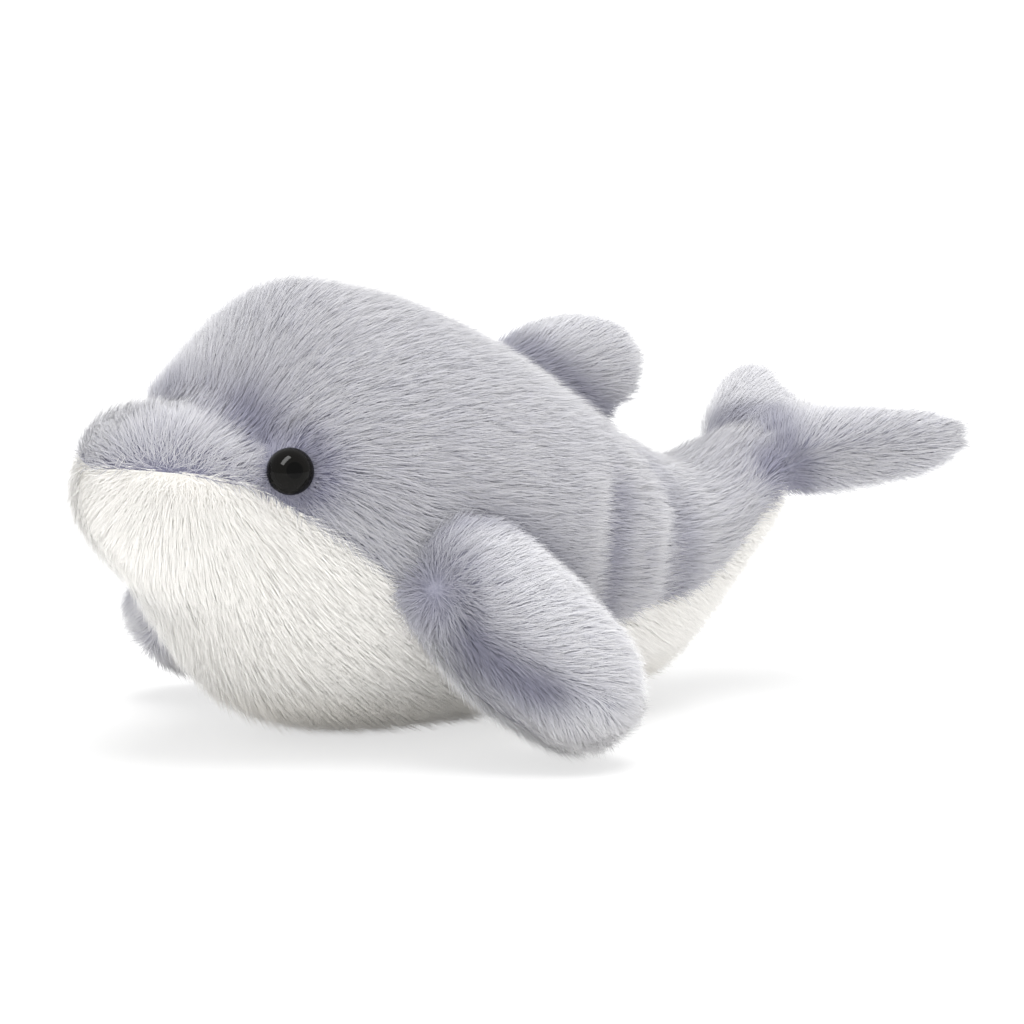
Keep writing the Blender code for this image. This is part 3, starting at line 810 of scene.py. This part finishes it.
def comb_flipper(pouch, root, tip, leading, body_trees):
    """Fur that parts along the flipper's seam valley, which is pressed in on its outer face, with
    shade painted along the valley, at the whorl by its root and against the body.
    """
    mesh = pouch.data
    places, normals = places_of(mesh), normals_of(mesh)
    way = np.array((tip - root).normalized())
    ahead = np.array(leading) - way * np.dot(way, np.array(leading))
    ahead /= np.linalg.norm(ahead)
    outer = np.cross(way, ahead)
    outer *= np.sign(outer[0]) * np.sign(root.x - MIDDLE_X)
    apart = places - np.array(root)
    reach = apart @ way / MM
    aside = apart @ ahead / MM - np.interp(reach, *zip(*VALLEY))
    face = stepped(-0.5, 0.1, normals @ outer)
    line = stepped(0, 12, reach) * (1 - stepped(38, 56, reach)) * face
    valley = np.exp(-((aside / VALLEY_SLOPE) ** 2)) * line
    dip = (VALLEY_DEPTH * valley)[:, None]
    mesh.vertices.foreach_set("co", (places - normals * dip).astype(np.float32).ravel())
    mesh.update()
    turns = [np.interp(reach, *zip(*side)) for side in (LEADING_TURN, TRAILING_TURN)]
    turn = np.where(aside > 0, *turns)
    spread = (np.tanh(aside / 1.5) * turn)[:, None]
    from_root = np.linalg.norm(apart, axis=1)
    fanned = apart / np.maximum(from_root, 1e-6)[:, None]
    share = (1 - stepped(4 * MM, 17 * MM, from_root))[:, None]
    flow = along_surface(way + ahead * spread, normals) * (1 - share) + fanned * share
    whorl = np.exp(-((from_root / WHORL_REACH) ** 2)) * face
    # Painted shade along the valley, where the flipper meets the body and at the whorl by its
    # root
    painted_groove_shade = np.exp(-((aside / np.interp(reach, *zip(*VALLEY_PAINTED_SHADE))) ** 2)) * line
    fold = np.maximum(painted_groove_shade, 0.6 * near_to(body_trees, places, SEAM_REACH))
    fold = np.maximum(fold, 0.75 * whorl)
    store(mesh, "loose", 0.6 * whorl)
    comb(mesh, flow, normals, fold)


def comb_fan(pouch, whorl, body_trees):
    """Fur that fans out from the middle of a fin's root, with shade painted at that middle and
    where the fin meets the body.
    """
    mesh = pouch.data
    places, normals = places_of(mesh), normals_of(mesh)
    flow, apart = fan(places, whorl)
    # Painted shade where the fin meets the body and at the fan's middle
    near = 0.8 * near_to(body_trees, places, FIN_PAINTED_SHADE_REACH)
    comb(mesh, flow, normals, np.maximum(near, 0.9 * np.exp(-((apart / FAN_SHADE_REACH) ** 2))))


# Eyes


def glossy_eye(side, material):
    """A smooth domed eye with a rounded rim on its stem, in place of the faceted one."""
    work = merged_copy(side + "_eye")
    start, way = eye_axis(side)
    apex = max((v.co - start).dot(way) for v in work.verts)
    stem_end = min((v.co - start).dot(way) for v in work.verts)
    work.free()
    rim = apex - EYE_DOME
    foot = rim - EYE_RIM
    turns = [math.pi / 2 * i / EYE_RINGS for i in range(EYE_RINGS + 1)]
    profile = [(EYE_RADIUS * math.sin(t), rim + EYE_DOME * math.cos(t)) for t in turns]
    profile += [(EYE_RADIUS, foot + EYE_BEVEL), (EYE_RADIUS - EYE_BEVEL, foot)]
    profile += [(EYE_STEM, foot), (EYE_STEM, stem_end), (0.0, stem_end)]
    aside = way.cross(Vector((0, 0, 1))).normalized()
    other = way.cross(aside)
    work = bmesh.new()
    reach = work.verts.layers.float.new("reach")
    rings = []
    for radius, height in profile:
        ring = []
        for k in range(EYE_TURNS if radius > 0 else 1):
            turn = 2 * math.pi * k / EYE_TURNS
            spot = aside * math.cos(turn) + other * math.sin(turn)
            v = work.verts.new(start + way * height + spot * radius)
            v[reach] = radius / EYE_RADIUS
            ring.append(v)
        rings.append(ring)
    for a, b in zip(rings, rings[1:]):
        for k in range(EYE_TURNS):
            n = (k + 1) % EYE_TURNS
            corners = [a[k % len(a)], b[k % len(b)], b[n % len(b)], a[n % len(a)]]
            work.faces.new(list(dict.fromkeys(corners)))
    bmesh.ops.recalc_face_normals(work, faces=work.faces)
    eye = mesh_object(side + "_glossy_eye", work)
    eye.data.materials.append(material)
    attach(eye, "root")
    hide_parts(side + "_eye")


# Stage


def make_camera():
    """The photograph's view, and the ways towards the camera, to its right and up."""
    turn, rise = math.radians(VIEW_TURN), math.radians(VIEW_RISE)
    back = Vector((
        math.sin(turn) * math.cos(rise), -math.cos(turn) * math.cos(rise), math.sin(rise),
    ))
    right = Vector((math.cos(turn), math.sin(turn), 0))
    up = back.cross(right)
    camera = bpy.data.objects.new("camera", bpy.data.cameras.new("camera"))
    camera.data.sensor_width = SENSOR
    camera.data.lens = LENS
    camera.data.clip_start = 0.05
    camera.data.clip_end = 50
    camera.location = VIEW_AIM + back * VIEW_DISTANCE + right * VIEW_ASIDE + up * VIEW_ABOVE
    camera.rotation_mode = "QUATERNION"
    camera.rotation_quaternion = (-back).to_track_quat("-Z", "Y")
    bpy.context.scene.collection.objects.link(camera)
    bpy.context.scene.camera = camera
    return back, right, up


def lamp(name, kind, energy, source):
    """A lamp that shines along a line from its source."""
    light = bpy.data.lights.new(name, kind)
    light.energy = energy
    obj = object_of(name, light)
    obj.location = HEAD + source
    obj.rotation_mode = "QUATERNION"
    obj.rotation_quaternion = (-source).to_track_quat("-Z", "Y")
    return obj


def fill_lamp(name, energy, source):
    """A broad lamp that no gloss shows."""
    fill = lamp(name, "AREA", energy, source)
    fill.data.size = FILL_SIZE
    fill.visible_glossy = False


def make_lamps(back, right, up):
    """A soft sun from above, a fill in front and behind, and a box that only gloss shows."""
    sun = lamp("soft_sun", "SUN", SUN_STRENGTH, up * 1.0 + right * 0.1 + back * 0.12)
    sun.data.angle = math.radians(SUN_SPREAD)
    sun.visible_glossy = False
    fill_lamp("front_fill", FRONT_FILL, back * 1.3 - right * 0.3 - up * 0.12)
    fill_lamp("rear_fill", REAR_FILL, back * -1.3 + right * 0.2 + up * 0.1)
    source = (-0.2 * right + 0.75 * up + 0.6 * back).normalized()
    box = lamp("soft_box", "AREA", SOFT_BOX, source)
    box.data.shape = "RECTANGLE"
    box.data.size, box.data.size_y = SOFT_BOX_SIZE
    roll = Quaternion((0, 0, 1), math.radians(SOFT_BOX_ROLL))
    box.rotation_quaternion = box.rotation_quaternion @ roll
    box.visible_diffuse = False


def make_world():
    """Even light from all round, seen as white."""
    world = bpy.data.worlds.new("studio")
    bpy.context.scene.world = world
    world.use_nodes = True
    tree = world.node_tree
    tree.nodes.clear()
    rays = node_in(tree, "ShaderNodeLightPath", {})
    seen = out_of(
        node_in(tree, "ShaderNodeMath",
                {0: out_of(rays, "Is Camera Ray"), 1: out_of(rays, "Is Glossy Ray")},
                operation="ADD")
    )
    seen = out_of(
        node_in(tree, "ShaderNodeMath", {0: seen, 1: out_of(rays, "Is Transmission Ray")},
                operation="ADD", use_clamp=True)
    )
    light = node_in(tree, "ShaderNodeBackground", {"Color": (1, 1, 1, 1), "Strength": SKY_LIGHT})
    white = node_in(tree, "ShaderNodeBackground", {"Color": (1, 1, 1, 1), "Strength": 1.0})
    both = node_in(tree, "ShaderNodeMixShader", {0: seen, 1: out_of(light), 2: out_of(white)})
    end = tree.nodes.new("ShaderNodeOutputWorld")
    tree.links.new(out_of(both), end.inputs["Surface"])


def make_floor():
    """A white floor that keeps the toy's shadow and shows the camera some white of its own."""
    work = bmesh.new()
    bmesh.ops.create_grid(work, x_segments=8, y_segments=8, size=12)
    floor = mesh_object("floor", work)
    material, tree, shader = shader_of("white_floor")
    place = out_of(node_in(tree, "ShaderNodeTexCoord", {}), "Object")
    fine = node_in(tree, "ShaderNodeTexNoise", {"Vector": place, "Scale": 3.0})
    share = fitted(tree, out_of(fine, "Fac"), 0.3, 0.7, 0.0, 1.0)
    colour = mixed(tree, share, (0.93, 0.93, 0.93, 1), (0.945, 0.945, 0.945, 1))
    tree.links.new(colour, shader.inputs["Base Color"])
    shader.inputs["Roughness"].default_value = 0.9
    shader.inputs["Specular IOR Level"].default_value = 0.0
    rays = node_in(tree, "ShaderNodeLightPath", {})
    seen = out_of(
        node_in(tree, "ShaderNodeMath", {0: out_of(rays, "Is Camera Ray"), 1: FLOOR_GLOW},
                operation="MULTIPLY")
    )
    white = node_in(tree, "ShaderNodeEmission", {"Color": (1, 1, 1, 1), "Strength": 1.0})
    both = node_in(tree, "ShaderNodeMixShader", {0: seen, 1: out_of(shader), 2: out_of(white)})
    tree.links.new(out_of(both), tree.nodes["Material Output"].inputs["Surface"])
    floor.data.materials.append(material)


# The toy

# Fur's colours at a strand's root and tip, in slow patches, as painted shade in creases and as
# painted warm bounce light near the floor, and the cloth's and the filling's in their fine weave
# Roots deeper and bluer than tips: partly the fur's own colour, partly painted shade of the deep
# pile
GREY_ROOT = (0.29, 0.29, 0.375)
GREY_TIP = (0.53, 0.526, 0.532)
GREY_PATCH = (0.44, 0.44, 0.475)
GREY_PAINTED_SHADE = (0.15, 0.15, 0.225)
# The low colours paint warm bounce light from the floor
GREY_PAINTED_BOUNCE = (0.55, 0.53, 0.51)
# The grey cloth is darker and bluer than the fur's tips: partly painted shade of the deep pile
GREY_CLOTH_PAINTED_SHADE = (0.2, 0.2, 0.27)
DEEP_GREY_CLOTH_PAINTED_SHADE = (0.13, 0.13, 0.19)
FIN_CLOTH = (0.32, 0.32, 0.385)
DEEP_FIN_CLOTH = (0.24, 0.24, 0.3)
# The fins' fur is a paler copy of the grey fur: painted light for the brighter light that the
# fins catch
FIN_LIT_ROOT = (0.39, 0.39, 0.475)
FIN_LIT_TIP = (0.64, 0.637, 0.64)
FIN_LIT_PATCH = (0.58, 0.58, 0.605)
WHITE_ROOT = (0.84, 0.825, 0.79)
WHITE_TIP = (0.855, 0.84, 0.81)
WHITE_PATCH = (0.85, 0.835, 0.8)
WHITE_PAINTED_SHADE = (0.85, 0.83, 0.8)
WHITE_PAINTED_BOUNCE = (0.95, 0.88, 0.76)
WHITE_CLOTH = (0.84, 0.82, 0.78)
DEEP_WHITE_CLOTH = (0.76, 0.73, 0.68)
FIBRE = (0.85, 0.85, 0.83)
DEEP_FIBRE = (0.7, 0.7, 0.68)


USUAL_FUR = {
    "Per Square Metre": FUR_PER_SQUARE_M, "Length": FUR_LENGTH, "Width": FUR_WIDTH, "Wave": 0.6,
    "Stray": 0.2, "Lock Size": 3.5 * MM, "Lock Pull": 0.3, "Front": -1.0, "Rear": 1.0,
}
SMOOTHER_FUR = {"Length": 2.1, "Wave": 0.35, "Stray": 0.14, "Lock Pull": 0.12}

# Where the body's fur is cut into pieces, from front to rear
BACK_CUTS = (-1.0, -65 * MM, -5 * MM, 1.0)
BELLY_CUTS = (-1.0, -45 * MM, 1.0)


def make_skins(eyes, body_trees):
    """The grey back's and the white belly's cloth, combed for their fur."""
    core = tree_of("stuffing")
    fins = [tree_of(node) for node in FINS]
    back = skin_sheet("grey_back", "back_skin", core, eyes)
    cover_and_comb(back, back_flow, fins, eyes, back_painted_shade, body_trees[1])
    belly = skin_sheet("white_belly", "belly_skin", core, eyes)
    cover_and_comb(belly, belly_flow, fins, eyes, belly_painted_shade, body_trees[0])
    return back, belly


def make_pouches(body_trees):
    """The cloth of the four fins, combed for their fur."""
    pouches = {}
    for node, (root, tip, leading, by) in FINS.items():
        pouches[node] = fin_pouch(node + "_pouch", node, body_trees, drawn_in(root, tip, by))
        if leading:
            comb_flipper(pouches[node], root, tip, leading, body_trees)
    comb_fan(pouches["dorsal_fin"], DORSAL_WHORL, body_trees)
    comb_fan(pouches["tail_flukes"], FLUKE_WHORL, body_trees)
    return pouches


def grow_coat(back, belly, pouches):
    """All the fur, which grows on the bare sheets before they get their thickness."""
    grey = plush_fur("grey_fur", GREY_ROOT, GREY_TIP, GREY_PATCH, GREY_PAINTED_SHADE, GREY_PAINTED_BOUNCE)
    # A paler copy of the grey fur for the fins: painted light
    fins = plush_fur("fin_fur", FIN_LIT_ROOT, FIN_LIT_TIP, FIN_LIT_PATCH, GREY_PAINTED_SHADE, GREY_PAINTED_BOUNCE)
    white = plush_fur("white_fur", WHITE_ROOT, WHITE_TIP, WHITE_PATCH, WHITE_PAINTED_SHADE, WHITE_PAINTED_BOUNCE)
    strand = strand_shape()
    tree = fur_tree()
    usual = {**USUAL_FUR, "Strand": strand}
    for skin, fur_name, own, slot, cuts in (
        (back, "back_fur", {"Plush": grey}, "grey_plush", BACK_CUTS),
        (belly, "belly_fur", {"Plush": white, **SMOOTHER_FUR}, "white_plush", BELLY_CUTS),
    ):
        for i, (front, rear) in enumerate(zip(cuts, cuts[1:])):
            fur = grow_fur(
                f"{fur_name}_{i + 1}", skin, tree,
                {**usual, **own, "Front": front, "Rear": rear, "Seed": 20 + i},
            )
            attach(fur, "root")
    for i, (node, pouch) in enumerate(pouches.items()):
        fur = grow_fur(node + "_fur", pouch, tree, {**usual, "Plush": fins, "Seed": 60 + i})
        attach(fur, "root")
    bpy.data.objects.remove(strand)


def stuffed(piece, node, material):
    """Puts a soft piece in the place of its CAD node."""
    piece.data.materials.append(material)
    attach(piece, "root")
    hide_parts(node)


def make_cloth(back, belly, pouches):
    """Gives the body's sheets their thickness, and every sheet its material and its place."""
    # The grey cloth's colour is partly painted shade of the deep pile
    grey = plush_backing("grey_backing", GREY_CLOTH_PAINTED_SHADE, DEEP_GREY_CLOTH_PAINTED_SHADE)
    fins = plush_backing("fin_backing", FIN_CLOTH, DEEP_FIN_CLOTH)
    white = plush_backing("white_backing", WHITE_CLOTH, DEEP_WHITE_CLOTH)
    for skin, node, material, slot in (
        (back, "back_skin", grey, "grey_plush"),
        (belly, "belly_skin", white, "white_plush"),
    ):
        wall = skin.modifiers.new("cloth", "SOLIDIFY")
        wall.thickness = BACKING
        wall.offset = -1
        stuffed(baked(skin), node, material)
    for node, pouch in pouches.items():
        stuffed(pouch, node, fins)


def make_eyes():
    """Both domed eyes, and the material of the washers behind them."""
    shiny = eye_plastic()
    washer = washer_plastic()
    for side in ("left", "right"):
        glossy_eye(side, shiny)
        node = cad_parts[side + "_eye_washer"]
        node.data.materials.clear()
        node.data.materials.append(washer)


def dress():
    eyes = [eye_axis("left"), eye_axis("right")]
    body_trees = [tree_of("back_skin"), tree_of("belly_skin")]
    back, belly = make_skins(eyes, body_trees)
    pouches = make_pouches(body_trees)
    grow_coat(back, belly, pouches)
    make_cloth(back, belly, pouches)
    fibre = plush_backing("fibre_filling", FIBRE, DEEP_FIBRE)
    stuffed(fibre_filling(eyes), "stuffing", fibre)
    make_eyes()


back, right, up = make_camera()
make_lamps(back, right, up)
make_world()
make_floor()
dress()
bpy.context.scene.view_settings.view_transform = "Standard"
